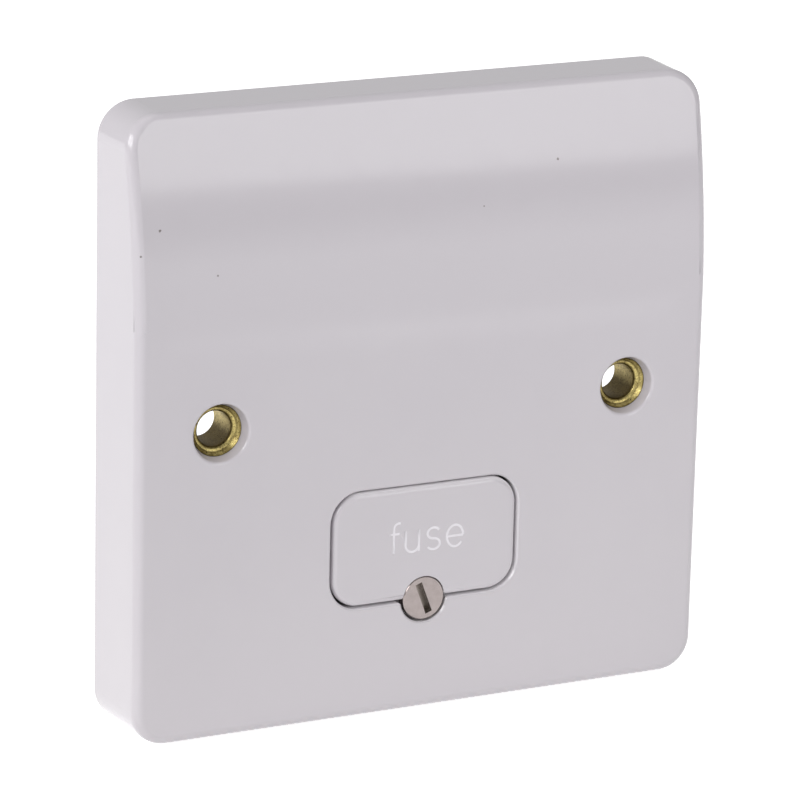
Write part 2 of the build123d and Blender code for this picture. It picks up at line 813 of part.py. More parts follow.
def main():
    os.makedirs("parts", exist_ok=True)
    write("front_plate", front_plate())
    write("rear_moulding", rear_moulding())
    write("left_eyelet", eyelet(-fixing_x))
    write("right_eyelet", eyelet(fixing_x))
    write("earth_strap", earth_strap())
    write("earth_terminal", terminal_body(twin_places, terminal_centre_z, True))
    neutral_places = [-x for x in reversed(twin_places)]
    write("neutral_terminal", terminal_body(neutral_places, terminal_centre_z, False))
    write("supply_terminal", terminal_body([-line_terminal_x], -terminal_centre_z, True))
    write("load_terminal", terminal_body([line_terminal_x], -terminal_centre_z, True))
    screw_places = {
        "neutral_supply_screw": (neutral_places[0], terminal_centre_z),
        "neutral_load_screw": (neutral_places[1], terminal_centre_z),
        "earth_supply_screw": (twin_places[0], terminal_centre_z),
        "earth_load_screw": (twin_places[1], terminal_centre_z),
        "supply_screw": (-line_terminal_x, -terminal_centre_z),
        "load_screw": (line_terminal_x, -terminal_centre_z),
    }
    for name, (x, z) in screw_places.items():
        write(name, terminal_screw(x, z))
    load_clip = fuse_clip()
    write("load_fuse_clip", load_clip)
    write("supply_fuse_clip", mirror(load_clip, about=Plane.YZ))
    write("fuse_carrier", fuse_carrier())
    write("fuse_tube", fuse_tube())
    write("supply_fuse_cap", fuse_cap(-1))
    write("load_fuse_cap", fuse_cap(1))
    write("carrier_screw", carrier_screw())
    write("screw_retaining_ring", retaining_ring())
    write("screw_insert", screw_insert())
    write("assembly_screws", assembly_screws())


main()
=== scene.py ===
"""The finish of a fused spur unit: gloss moulding, brass, nickel and the soft light it stands in.

Run as a script. Lengths are in metres, unless a comment says millimetres, in the frame of the
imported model: X to the right, Y into the wall and Z up, with the origin midway between the two
fixing holes, at the eyelets' rear ends.
"""

import json
from math import cos, pi, radians, sin, tau

import bmesh
import bpy
from mathutils import Matrix, Vector


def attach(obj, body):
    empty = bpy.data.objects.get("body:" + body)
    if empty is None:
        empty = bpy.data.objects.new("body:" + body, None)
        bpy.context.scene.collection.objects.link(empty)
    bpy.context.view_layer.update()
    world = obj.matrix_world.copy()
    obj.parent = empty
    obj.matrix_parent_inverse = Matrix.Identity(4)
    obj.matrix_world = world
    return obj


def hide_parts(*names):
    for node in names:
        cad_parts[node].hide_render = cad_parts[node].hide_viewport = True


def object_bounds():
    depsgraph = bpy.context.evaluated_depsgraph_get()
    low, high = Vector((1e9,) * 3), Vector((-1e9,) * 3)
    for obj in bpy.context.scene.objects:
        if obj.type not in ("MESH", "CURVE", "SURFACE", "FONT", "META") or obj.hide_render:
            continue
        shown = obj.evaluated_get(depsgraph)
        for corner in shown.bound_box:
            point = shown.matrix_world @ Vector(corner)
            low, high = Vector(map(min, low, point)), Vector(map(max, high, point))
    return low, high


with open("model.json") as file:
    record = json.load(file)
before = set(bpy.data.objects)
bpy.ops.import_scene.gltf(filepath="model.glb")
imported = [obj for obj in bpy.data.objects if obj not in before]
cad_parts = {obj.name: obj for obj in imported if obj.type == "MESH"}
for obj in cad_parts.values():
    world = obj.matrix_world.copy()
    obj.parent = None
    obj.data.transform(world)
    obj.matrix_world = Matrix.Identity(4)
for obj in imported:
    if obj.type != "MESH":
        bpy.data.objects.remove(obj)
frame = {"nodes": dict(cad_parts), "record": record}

bl_info = {
    "name": "Fused Spur Unit Finish",
    "version": (1, 0, 0),
    "blender": (4, 5, 0),
    "location": "3D View > Sidebar > Spur Unit",
    "description": "Finishes a wall plate with a pull-out fuse drawer and lights it",
    "category": "Object",
}


def middle_of(node):
    """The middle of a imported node's box."""
    points = [vertex.co for vertex in frame["nodes"][node].data.vertices]
    return Vector([
        (min(point[axis] for point in points) + max(point[axis] for point in points)) / 2
        for axis in range(3)
    ])


MM = 0.001
CAD_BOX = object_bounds()

PHOTO_WIDTH = 800
SENSOR_WIDTH = 36.0

# Places on the unit
FACE_Y = CAD_BOX[0][1]
EYELET_X = middle_of("right_eyelet").x
SCREW_Z = middle_of("carrier_screw").z
BORE_RADIUS = 2.5 * MM

# Windows of the face: a middle, then half the width and half the height
WORD_WINDOW = ((0, -17.6 * MM), (6.6 * MM, 2.8 * MM))
DOOR_WINDOW = ((0, -20.3 * MM), (14.9 * MM, 11.0 * MM))
SLOT_WINDOW = ((0, SCREW_Z), (2.4 * MM, 2.4 * MM))

# Between these values of X, the dust and painted shade in the joint on the door's left give way
# to the plastic's own colour, and the painted light in the rest of the joint begins
LEFT_JOINT_END = (-12.5 * MM, -10 * MM)

# The word, in millimetres: its foot, the height of its small letters and the top of the tall one
WORD_FOOT, WORD_HEAD, WORD_TOP = -19.7, -16.65, -15.45
WORD_MIDDLE = (WORD_FOOT + WORD_HEAD) / 2
ARC_STEPS = 20

# Dark specks, in millimetres: X, depth behind the face, Z and radius
SPECKS = (
    (-38.57, 1.34, 27.64, 0.17),
    (-41.32, 1.04, 24.54, 0.15),
    (-30.71, 0.57, 21.13, 0.14),
    (19.47, 2.06, 32.03, 0.18),
    (8.09, 1.22, 26.79, 0.11),
    (-42.3, 12.5, 16.5, 0.16),
)

# Painted shade: dark lines at an eyelet's bore rim, its groove and its outer edge, given by
# radius and half the width in millimetres, and strength
EDGE_SHADE_LINES = ((2.5, 0.07, 0.75), (3.0, 0.05, 0.5), (3.5, 0.1, 0.7))
TURNING_PITCH = 0.24 * MM

# The assembly screws' X and Z, in millimetres. The tops of their recesses lean outwards.
ASSEMBLY_SCREWS = ((-20, 9.5), (20, 9.5), (-20, -7.5), (20, -7.5))
RECESS_LEAN = radians(20)
RECESS_TAPER = 0.35

SHARP_ANGLE = radians(30)
FLAT_ANGLE = radians(0.05)
WELD_DISTANCE = 0.001 * MM

# Lamps: name, place, width and height, turn in degrees and brightness
LAMPS = (
    ("left_softbox", (-1.953, -0.46, 1.075), (2.2, 0.95), 0, 5.8),
    ("front_softbox", (0.5, -1.08, 0.453), (0.46, 0.65), -12, 2.9),
    ("right_fill", (0.12, -0.24, -0.01), (0.1, 0.06), 0, 3.5),
    ("top_softbox", (0, 0.02, 1.3), (0.8, 0.8), 0, 0.85),
)
FLOOR_REACH = 6.0
FLOOR_GLOW = 0.8
SKY_LIGHT = 0.2
SKY_IN_GLOSS = 0.6


def linear(red, green, blue):
    """A colour given as it looks on screen, 0 to 255, in the linear values that shaders use."""
    def channel(value):
        value /= 255
        return value / 12.92 if value <= 0.04045 else ((value + 0.055) / 1.055) ** 2.4
    return channel(red), channel(green), channel(blue), 1.0


# Plain metals: bright colour, dulled colour, roughness and the size of a patch in millimetres
METALS = {
    "terminal_brass": (linear(214, 186, 118), linear(186, 156, 92), 0.28, 2.5),
    "strip_metal": (linear(205, 186, 142), linear(176, 154, 108), 0.33, 3.0),
    "plated_steel": (linear(196, 196, 198), linear(164, 166, 170), 0.3, 1.5),
    "fuse_metal": (linear(206, 202, 196), linear(180, 176, 170), 0.25, 2.0),
}


# The word on the door

def arc(middle, reach, start, stop):
    """Points of an arc on the face, from one angle to another in degrees."""
    turns = [start + (stop - start) * step / ARC_STEPS for step in range(ARC_STEPS + 1)]
    return [
        (middle[0] + reach[0] * cos(radians(turn)), middle[1] + reach[1] * sin(radians(turn)))
        for turn in turns
    ]


def letter_f(stem):
    """A stem that hooks over to the right, and its bar."""
    hook = 0.75
    bar = WORD_HEAD - 0.3
    return [
        [(stem, WORD_FOOT)] + arc((stem + hook, WORD_TOP - hook), (hook, hook), 180, 75),
        [(stem - 0.67, bar), (stem + 0.83, bar)],
    ]


def letter_u(left):
    """A round cup, and the foot of its right stem."""
    bowl = 1.0
    right = left + 2 * bowl
    cup = arc((left + bowl, WORD_FOOT + bowl), (bowl, bowl), 180, 360)
    return [
        [(left, WORD_HEAD)] + cup + [(right, WORD_HEAD)],
        [(right, WORD_FOOT + 0.9 * bowl), (right, WORD_FOOT)],
    ]


def letter_s(x):
    """Two bowls, one above the other, in one stroke."""
    bowl = (WORD_HEAD - WORD_FOOT) / 4
    upper = arc((x, WORD_MIDDLE + bowl), (0.93, bowl), 28, 270)
    lower = arc((x, WORD_MIDDLE - bowl), (0.95, bowl), 90, -152)
    return [upper + lower[1:]]


def letter_e(x):
    """A bar, and a ring that is open at the lower right."""
    reach = 1.22
    return [
        [(x - 1.2, WORD_MIDDLE), (x + reach, WORD_MIDDLE)],
        arc((x, WORD_MIDDLE), (reach, (WORD_HEAD - WORD_FOOT) / 2), 0, 325),
    ]


def word_strokes():
    """The pen strokes of the word on the door, as lines of X and Z in millimetres."""
    return letter_f(-4.68) + letter_u(-2.92) + letter_s(1.27) + letter_e(4.5)


# Shapes

def merged_copy(node, name, body):
    """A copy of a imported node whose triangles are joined, which then stands for the node."""
    packed = frame["nodes"][node]
    shape = bmesh.new()
    shape.from_mesh(packed.data)
    bmesh.ops.remove_doubles(shape, verts=shape.verts, dist=WELD_DISTANCE)
    bmesh.ops.dissolve_limit(
        shape, angle_limit=FLAT_ANGLE, verts=shape.verts, edges=shape.edges)
    piece = new_object(name, shape)
    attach(piece, body)
    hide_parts(node)
    return piece


def new_object(name, shape):
    """Puts a bmesh in the scene as an object, and frees it."""
    mesh = bpy.data.meshes.new(name)
    shape.to_mesh(mesh)
    shape.free()
    piece = bpy.data.objects.new(name, mesh)
    bpy.context.scene.collection.objects.link(piece)
    return piece


def evaluated_mesh(piece):
    """The mesh that an object's modifiers or its curve make."""
    bpy.context.view_layer.update()
    depsgraph = bpy.context.evaluated_depsgraph_get()
    return bpy.data.meshes.new_from_object(piece.evaluated_get(depsgraph))


def cut_away(piece, cutters):
    """Cuts each cutter out of a piece in turn, and deletes the cutters."""
    for cutter in cutters:
        step = piece.modifiers.new(cutter.name, "BOOLEAN")
        step.operation = "DIFFERENCE"
        step.solver = "EXACT"
        step.object = cutter
    result = evaluated_mesh(piece)
    piece.modifiers.clear()
    old = piece.data
    piece.data = result
    bpy.data.meshes.remove(old)
    for cutter in cutters:
        bpy.data.objects.remove(cutter)
    result.shade_smooth()
    result.set_sharp_from_angle(angle=SHARP_ANGLE)
    even = piece.modifiers.new("flat_shading", "WEIGHTED_NORMAL")
    even.keep_sharp = True
    even.weight = 100


def groove(points, width, depth):
    """A round bar along a stroke, set so that it cuts a groove of that width and depth."""
    radius = (width * width / 4 + depth * depth) / (2 * depth)
    curve = bpy.data.curves.new("groove", "CURVE")
    curve.dimensions = "3D"
    curve.bevel_depth = radius
    curve.bevel_resolution = 6
    curve.use_fill_caps = True
    spline = curve.splines.new("POLY")
    spline.points.add(len(points) - 1)
    for point, (x, z) in zip(spline.points, points):
        point.co = (x * MM, FACE_Y + depth - radius, z * MM, 1)
    holder = bpy.data.objects.new("groove", curve)
    bpy.context.scene.collection.objects.link(holder)
    mesh = evaluated_mesh(holder)
    bpy.data.objects.remove(holder)
    shape = bmesh.new()
    shape.from_mesh(mesh)
    bpy.data.meshes.remove(mesh)
    bmesh.ops.remove_doubles(shape, verts=shape.verts, dist=WELD_DISTANCE)
    bmesh.ops.recalc_face_normals(shape, faces=shape.faces)
    return new_object("groove_cutter", shape)


def recess_wing(place, width, wing, depth, turn):
    """One tapered wing of a cross recess, entering a screw's head from behind."""
    shape = bmesh.new()
    bmesh.ops.create_cube(shape, size=1.0)
    for corner in shape.verts:
        narrow = RECESS_TAPER if corner.co.y < 0 else 1.0
        corner.co.x *= width * narrow
        corner.co.z *= wing
        corner.co.y *= 2 * depth
    bmesh.ops.rotate(shape, verts=shape.verts, matrix=Matrix.Rotation(turn, 3, "Y"))
    bmesh.ops.translate(shape, verts=shape.verts, vec=place)
    return new_object("recess_cutter", shape)


# Materials

class Nodes:
    """Short calls that add nodes to a tree."""

    def __init__(self, tree):
        self.tree = tree

    def node(self, kind, inputs=None, **settings):
        """Adds one node, with its inputs linked or set."""
        node = self.tree.nodes.new(kind)
        for name, value in settings.items():
            setattr(node, name, value)
        for key, value in (inputs or {}).items():
            if isinstance(value, bpy.types.NodeSocket):
                self.tree.links.new(value, node.inputs[key])
            else:
                node.inputs[key].default_value = value
        return node

    def ramp(self, value, low, high, out_low=0.0, out_high=1.0):
        """A value stretched from one range to another, and held at its ends."""
        return self.node(
            "ShaderNodeMapRange",
            {"Value": value, "From Min": low, "From Max": high, "To Min": out_low,
             "To Max": out_high},
        ).outputs["Result"]

    def math(self, operation, first, second=0.5, third=0.5):
        """A Math node."""
        return self.node(
            "ShaderNodeMath", {0: first, 1: second, 2: third}, operation=operation
        ).outputs[0]

    def product(self, *factors):
        """Several values multiplied together."""
        result = factors[0]
        for factor in factors[1:]:
            result = self.math("MULTIPLY", result, factor)
        return result


class Finish(Nodes):
    """A material under construction: a Principled shader and calls for what its sockets need."""

    def __init__(self, name):
        self.material = bpy.data.materials.new(name)
        self.material.use_nodes = True
        super().__init__(self.material.node_tree)
        self.shader = self.tree.nodes["Principled BSDF"]
        self.coordinates = self.tree.nodes.new("ShaderNodeTexCoord").outputs["Object"]
        self.place = self.node("ShaderNodeSeparateXYZ", {0: self.coordinates}).outputs

    def set(self, **values):
        """Sets constants on the shader's own sockets, by name with underscores."""
        for name, value in values.items():
            self.shader.inputs[name.replace("_", " ")].default_value = value

    def link(self, socket, name):
        """Links a node's output to one of the shader's sockets."""
        self.tree.links.new(socket, self.shader.inputs[name])

    def noise(self, size, detail=3.0, roughness=0.55):
        """Noise whose grains are about the given size across."""
        return self.node(
            "ShaderNodeTexNoise",
            {"Vector": self.coordinates, "Scale": 1 / size, "Detail": detail,
             "Roughness": roughness},
        ).outputs["Fac"]

    def patches(self, size, low, high, out_low=0.0, out_high=1.0, detail=3.0):
        """Noise stretched from one range to another."""
        return self.ramp(self.noise(size, detail), low, high, out_low, out_high)

    def behind_face(self):
        """How far a point lies behind the plate's face."""
        return self.math("SUBTRACT", self.place["Y"], FACE_Y)

    def within(self, middle, half):
        """One inside a window of the face, given by its middle and half its width and height."""
        sides = []
        for axis, centre, reach in zip("XZ", middle, half):
            away = self.math("ABSOLUTE", self.math("SUBTRACT", self.place[axis], centre))
            sides.append(self.math("LESS_THAN", away, reach))
        return self.product(*sides)

    def mix(self, factor, first, second):
        """Two colours mixed by a factor."""
        return self.node(
            "ShaderNodeMix", {"Factor": factor, "A": first, "B": second},
            data_type="RGBA",
        ).outputs[2]

    def bump(self, height, distance, strength):
        """Surface relief, with its distance in metres."""
        normal = self.node(
            "ShaderNodeBump", {"Height": height, "Distance": distance, "Strength": strength}
        ).outputs["Normal"]
        self.link(normal, "Normal")


def darker(colour, share):
    """A colour with its channels brought down to a share."""
    return [channel * share for channel in colour[:3]] + [1.0]


def white_moulding():
    """Gloss thermoset, slightly greyed, with dust and painted shade in the joint on the door's
    left, painted light in the rest of that joint and in the engraved word, and a few dark specks.
    """
    look = bpy.context.scene.spur_plastic
    finish = Finish("white_moulding")
    finish.set(IOR=1.5)
    # The plate's colour grows lighter towards the bottom and on the door.
    wander = finish.patches(14 * MM, 0.35, 0.65, -6 * MM, 6 * MM, detail=2.0)
    height = finish.math("ADD", finish.place["Z"], wander)
    drift = finish.ramp(height, -34 * MM, 12 * MM, 1.0, 0.0)
    colour = finish.mix(drift, look.white[:], look.white_lower[:])

    behind_face = finish.behind_face()
    # Painted highlight: the engraved word is coloured lighter, standing in for light caught in
    # its grooves.
    groove_highlight = finish.product(
        finish.within(*WORD_WINDOW), finish.ramp(behind_face, 0.01 * MM, 0.06 * MM))
    colour = finish.mix(groove_highlight, colour, look.word[:])

    # Painted light: the walls of the joint round the rest of the door are lightened to a
    # near-white, as if more light reached into it.
    at_door = finish.within(*DOOR_WINDOW)
    past_left_joint = finish.ramp(finish.place["X"], *LEFT_JOINT_END)
    joint_lightened = finish.product(
        finish.ramp(behind_face, 0.05 * MM, 0.4 * MM), at_door, past_left_joint)
    colour = finish.mix(joint_lightened, colour, look.joint_light[:])

    # Dust and painted shade: the joint on the door's left is darkened from some depth behind the
    # face, most heavily at the left.
    past_rim = finish.ramp(behind_face, look.dark_joint_depth, look.dark_joint_depth + 0.5 * MM)
    not_deep = finish.ramp(behind_face, 1.9 * MM, 2.7 * MM, 1.0, 0.0)
    heavier_left = finish.ramp(finish.place["X"], *LEFT_JOINT_END, 1.0, 0.05)
    dusty_and_shaded = finish.product(past_rim, not_deep, at_door, heavier_left)
    colour = finish.mix(dusty_and_shaded, colour, look.dust_and_shade[:])

    ragged = finish.patches(0.3 * MM, 0.3, 0.7, 0.6, 1.4)
    for x, y, z, radius in SPECKS:
        away = finish.node(
            "ShaderNodeVectorMath",
            {0: finish.coordinates, 1: (x * MM, FACE_Y + y * MM, z * MM)}, operation="DISTANCE",
        ).outputs["Value"]
        inside = finish.math("SUBTRACT", finish.product(ragged, radius * MM), away)
        speck = finish.ramp(inside, -0.04 * MM, 0.06 * MM, 0.0, 0.75)
        colour = finish.mix(speck, colour, look.speck[:])
    finish.link(colour, "Base Color")

    smooth = finish.patches(3 * MM, 0.3, 0.7, look.gloss - 0.02, look.gloss + 0.02)
    finish.link(finish.math("MULTIPLY_ADD", dusty_and_shaded, 0.5, smooth), "Roughness")
    finish.bump(finish.noise(1.6 * MM, 2.0), 0.01 * MM, 0.2)
    return finish.material


def rear_plastic():
    """Satin moulding of the part that goes into the wall box."""
    look = bpy.context.scene.spur_plastic
    finish = Finish("rear_plastic")
    finish.set(IOR=1.48)
    cloud = finish.patches(9 * MM, 0.35, 0.65)
    finish.link(finish.mix(cloud, darker(look.rear, 0.93), look.rear[:]), "Base Color")
    finish.link(finish.patches(2 * MM, 0.3, 0.7, 0.42, 0.52), "Roughness")
    finish.bump(finish.noise(0.5 * MM), 0.02 * MM, 0.3)
    return finish.material


def metal(name, bright, dull, rough, patch):
    """Metal whose colour and roughness wander between bright and dulled."""
    finish = Finish(name)
    finish.set(Metallic=1.0)
    cloud = finish.patches(patch * MM, 0.38, 0.62, detail=4.0)
    finish.link(finish.mix(cloud, dull, bright), "Base Color")
    smooth = finish.patches(patch * 0.6 * MM, 0.3, 0.7, rough - 0.07, rough + 0.07)
    finish.link(smooth, "Roughness")
    finish.bump(finish.noise(patch * 0.15 * MM), 0.01 * MM, 0.4)
    return finish.material


def tarnished_brass():
    """Turned brass, dulled by age, with turning marks, dark spots, painted shade in dark lines at
    its rims and groove, and a bore with a painted reflection above and painted shade below.
    """
    look = bpy.context.scene.spur_metal
    finish = Finish("tarnished_brass")
    finish.set(Metallic=1.0)
    cloud = finish.patches(0.9 * MM, 0.36, 0.64, detail=4.0)
    grain = finish.patches(0.16 * MM, 0.3, 0.7, detail=2.0)
    colour = finish.mix(cloud, look.brass_dull[:], look.brass[:])
    colour = finish.mix(finish.product(grain, 0.4), colour, look.brass_dull[:])

    across = finish.math("SUBTRACT", finish.math("ABSOLUTE", finish.place["X"]), EYELET_X)
    squares = [finish.math("POWER", side, 2.0) for side in (across, finish.place["Z"])]
    radius = finish.math("SQRT", finish.math("ADD", *squares))
    in_bore = finish.ramp(radius, BORE_RADIUS - 0.06 * MM, BORE_RADIUS, 1.0, 0.0)
    # Painted reflection and painted shade: the bore is coloured pale as if reflecting light, and
    # dark towards its bottom as if in shade.
    wander = finish.patches(0.8 * MM, 0.3, 0.7, -0.35 * MM, 0.35 * MM)
    height = finish.math("ADD", finish.place["Z"], wander)
    low = finish.ramp(height, -1.1 * MM, 0.6 * MM, 0.8, 0.0)
    colour = finish.mix(finish.product(in_bore, 0.75), colour, look.bore_reflection[:])
    colour = finish.mix(finish.product(in_bore, low), colour, look.bore_shade[:])

    # Painted shade: dark lines at the eyelet's rims and groove, where shade falls.
    for middle, half, strength in EDGE_SHADE_LINES:
        away = finish.math("ABSOLUTE", finish.math("SUBTRACT", radius, middle * MM))
        line = finish.ramp(away, half * 0.4 * MM, half * MM, strength, 0.0)
        colour = finish.mix(line, colour, look.brass_spot_and_shade[:])
    spot = finish.ramp(finish.noise(0.34 * MM, 3.0, 0.6), 0.62, 0.67)
    pits = finish.patches(0.2 * MM, 0.5, 0.68, 0.0, 0.6, detail=2.0)
    colour = finish.mix(spot, colour, look.brass_spot_and_shade[:])
    colour = finish.mix(pits, colour, look.brass_spot_and_shade[:])
    finish.link(colour, "Base Color")

    rough = finish.ramp(grain, 0.0, 1.0, 0.3, 0.46)
    dulled = finish.math("MAXIMUM", spot, in_bore)
    finish.link(finish.math("MULTIPLY_ADD", dulled, 0.15, rough), "Roughness")
    turning = finish.math("SINE", finish.product(radius, tau / TURNING_PITCH))
    marks = finish.math("MULTIPLY_ADD", turning, 0.3, finish.noise(0.14 * MM))
    finish.bump(marks, 0.02 * MM, 0.8)
    return finish.material


def nickel_screw():
    """Nickel plate, faced in a lathe, with matt grime in the slot."""
    look = bpy.context.scene.spur_metal
    finish = Finish("nickel_screw")
    cloud = finish.patches(1.1 * MM, 0.35, 0.65)
    colour = finish.mix(cloud, darker(look.nickel, 0.9), look.nickel[:])
    behind_face = finish.behind_face()
    sunk = finish.ramp(behind_face, 0.15 * MM, 0.6 * MM)
    shallow = finish.ramp(behind_face, 1.3 * MM, 1.5 * MM, 1.0, 0.0)
    downward = finish.ramp(
        finish.place["Z"], SCREW_Z + 2 * MM, SCREW_Z - 2 * MM, 0.45, 0.95)
    grime = finish.product(sunk, shallow, finish.within(*SLOT_WINDOW), downward)
    finish.link(finish.mix(grime, colour, look.grime[:]), "Base Color")
    finish.link(finish.ramp(grime, 0.0, 1.0, 1.0, 0.1), "Metallic")
    finish.link(finish.patches(0.5 * MM, 0.3, 0.7, 0.18, 0.26), "Roughness")
    centred = finish.node(
        "ShaderNodeMapping", {"Vector": finish.coordinates, "Location": (0, 0, -SCREW_Z)}
    ).outputs[0]
    turning = finish.node(
        "ShaderNodeTexWave", {"Vector": centred, "Scale": 1 / (2.4 * MM), "Distortion": 0.3},
        wave_type="RINGS", rings_direction="Y",
    ).outputs["Fac"]
    finish.bump(turning, 0.004 * MM, 0.35)
    return finish.material


def fuse_body():
    """Fired ceramic of the fuse's tube."""
    finish = Finish("fuse_body")
    finish.set(IOR=1.5)
    cloud = finish.patches(2 * MM, 0.35, 0.65)
    finish.link(finish.mix(cloud, linear(222, 216, 204), linear(232, 228, 218)), "Base Color")
    finish.link(finish.patches(1 * MM, 0.3, 0.7, 0.3, 0.42), "Roughness")
    finish.bump(finish.noise(0.3 * MM), 0.01 * MM, 0.3)
    return finish.material


# Properties

class SpurPlastic(bpy.types.PropertyGroup):
    """Colours and gloss of the mouldings."""

    white: bpy.props.FloatVectorProperty(
        name="White", description="Colour of the upper part of the plate",
        default=linear(212, 207, 213), min=0.0, max=1.0, size=4, subtype="COLOR",
    )
    white_lower: bpy.props.FloatVectorProperty(
        name="White, lower", description="Colour of the plate's lower part and the door",
        default=linear(217, 212, 217), min=0.0, max=1.0, size=4, subtype="COLOR",
    )
    # Painted light: a near-white that lightens the walls of the joint round the door.
    joint_light: bpy.props.FloatVectorProperty(
        name="White, fresh",
        description="Colour in the joint round the door, where no hand reaches",
        default=linear(247, 244, 247), min=0.0, max=1.0, size=4, subtype="COLOR",
    )
    rear: bpy.props.FloatVectorProperty(
        name="Rear", description="Colour of the rear moulding",
        default=linear(196, 193, 186), min=0.0, max=1.0, size=4, subtype="COLOR",
    )
    # Painted highlight: this lighter colour stands in for light caught in the word's grooves.
    word: bpy.props.FloatVectorProperty(
        name="Word", description="Colour inside the engraved word",
        default=linear(247, 243, 249), min=0.0, max=1.0, size=4, subtype="COLOR",
    )
    # Dust and painted shade in the joint on the door's left.
    dust_and_shade: bpy.props.FloatVectorProperty(
        name="Dust", description="Colour of the dust in the joint on the door's left",
        default=linear(64, 57, 51), min=0.0, max=1.0, size=4, subtype="COLOR",
    )
    speck: bpy.props.FloatVectorProperty(
        name="Specks", description="Colour of the small specks on the plate",
        default=linear(96, 84, 76), min=0.0, max=1.0, size=4, subtype="COLOR",
    )
    # Depth behind the face at which the joint's dust and painted shade begin.
    dark_joint_depth: bpy.props.FloatProperty(
        name="Clean rim", description="Depth behind the face at which the joint's dust begins",
        default=0.9 * MM, min=0.0, unit="LENGTH",
    )
    gloss: bpy.props.FloatProperty(
        name="Roughness", description="Roughness of the white moulding",
        default=0.11, min=0.02, max=1.0, subtype="FACTOR",
    )


class SpurMetal(bpy.types.PropertyGroup):
    """Colours of the brass eyelets and the nickel screw."""

    brass: bpy.props.FloatVectorProperty(
        name="Brass", description="Brass where it is brightest",
        default=linear(192, 177, 116), min=0.0, max=1.0, size=4, subtype="COLOR",
    )
    brass_dull: bpy.props.FloatVectorProperty(
        name="Brass, dulled", description="Brass where it is dull",
        default=linear(140, 125, 78), min=0.0, max=1.0, size=4, subtype="COLOR",
    )
    # Painted reflection: a pale colour for the upper part of the bores.
    bore_reflection: bpy.props.FloatVectorProperty(
        name="Bore", description="The upper part of the eyelets' bores",
        default=linear(206, 188, 128), min=0.0, max=1.0, size=4, subtype="COLOR",
    )
    # Painted shade: a dark colour for the lower part of the bores.
    bore_shade: bpy.props.FloatVectorProperty(
        name="Bore, lower part", description="The lower part of the eyelets' bores",
        default=linear(80, 65, 40), min=0.0, max=1.0, size=4, subtype="COLOR",
    )
    # Serves the real dark spots and the painted shade of the lines at the eyelets' rims and
    # groove.
    brass_spot_and_shade: bpy.props.FloatVectorProperty(
        name="Brass, spotted", description="Dark spots and turned lines on the brass",
        default=linear(48, 39, 25), min=0.0, max=1.0, size=4, subtype="COLOR",
    )
    nickel: bpy.props.FloatVectorProperty(
        name="Nickel", description="The drawer screw's plating",
        default=linear(146, 137, 135), min=0.0, max=1.0, size=4, subtype="COLOR",
    )
    grime: bpy.props.FloatVectorProperty(
        name="Grime", description="What has settled in the screw's slot",
        default=linear(136, 127, 116), min=0.0, max=1.0, size=4, subtype="COLOR",
    )


class SpurDetail(bpy.types.PropertyGroup):
    """Sizes of the word and of the cross recesses."""

    stroke: bpy.props.FloatProperty(
        name="Stroke", description="Width of the engraved strokes",
        default=0.44 * MM, min=0.05 * MM, unit="LENGTH",
    )
    stroke_depth: bpy.props.FloatProperty(
        name="Stroke depth", description="Depth of the engraved strokes",
        default=0.08 * MM, min=0.02 * MM, unit="LENGTH",
    )
    recess: bpy.props.FloatProperty(
        name="Cross recess", description="Width across a cross recess",
        default=3.2 * MM, min=0.5 * MM, unit="LENGTH",
    )
    recess_wing: bpy.props.FloatProperty(
        name="Recess wing", description="Thickness of a wing of the cross recess",
        default=0.75 * MM, min=0.1 * MM, unit="LENGTH",
    )
    recess_depth: bpy.props.FloatProperty(
        name="Recess depth", description="Depth of the cross recess",
        default=1.2 * MM, min=0.1 * MM, unit="LENGTH",
    )


class SpurCamera(bpy.types.PropertyGroup):
    """Where the camera stands."""

    azimuth: bpy.props.FloatProperty(
        name="Azimuth", description="Turn of the camera about the plate, seen from above",
        default=radians(-26.879), subtype="ANGLE",
    )
    elevation: bpy.props.FloatProperty(
        name="Elevation", description="Height of the camera as an angle",
        default=radians(16.236), subtype="ANGLE",
    )
    roll: bpy.props.FloatProperty(
        name="Roll", description="Tilt of the camera about its own line of sight",
        default=radians(1.378), subtype="ANGLE",
    )
    distance: bpy.props.FloatProperty(
        name="Distance", description="From the camera to the point it looks at",
        default=0.611527, unit="LENGTH",
    )
    target: bpy.props.FloatVectorProperty(
        name="Target", description="The point that the camera looks at", size=3,
        default=(-0.004287, -0.0078, 0.001751), subtype="TRANSLATION", unit="LENGTH",
    )
    focal_pixels: bpy.props.FloatProperty(
        name="Focal length", description="Focal length in pixels of the 800 pixel frame",
        default=4619.85, subtype="PIXEL",
    )


# Operators

class SPUR_OT_fuse_door(bpy.types.Operator):
    """Engraves the plain word on the drawer's door"""

    bl_idname = "spur.fuse_door"
    bl_label = "Fuse door"

    def execute(self, context):
        detail = context.scene.spur_detail
        door = merged_copy("fuse_carrier", "fuse_carrier_engraved", "fuse_drawer")
        cut_away(door, [
            groove(points, detail.stroke, detail.stroke_depth) for points in word_strokes()
        ])
        return {"FINISHED"}


class SPUR_OT_assembly_screws(bpy.types.Operator):
    """Sinks a cross recess in each of the four assembly screws"""

    bl_idname = "spur.assembly_screws"
    bl_label = "Assembly screws"

    def execute(self, context):
        detail = context.scene.spur_detail
        screws = merged_copy("assembly_screws", "assembly_screws_recessed", "unit")
        rear = max(vertex.co.y for vertex in screws.data.vertices)
        cutters = []
        for x, z in ASSEMBLY_SCREWS:
            lean = RECESS_LEAN if x > 0 else -RECESS_LEAN
            for turn in (lean, lean + pi / 2):
                cutters.append(recess_wing(
                    (x * MM, rear, z * MM), detail.recess, detail.recess_wing,
                    detail.recess_depth, turn))
        cut_away(screws, cutters)
        return {"FINISHED"}


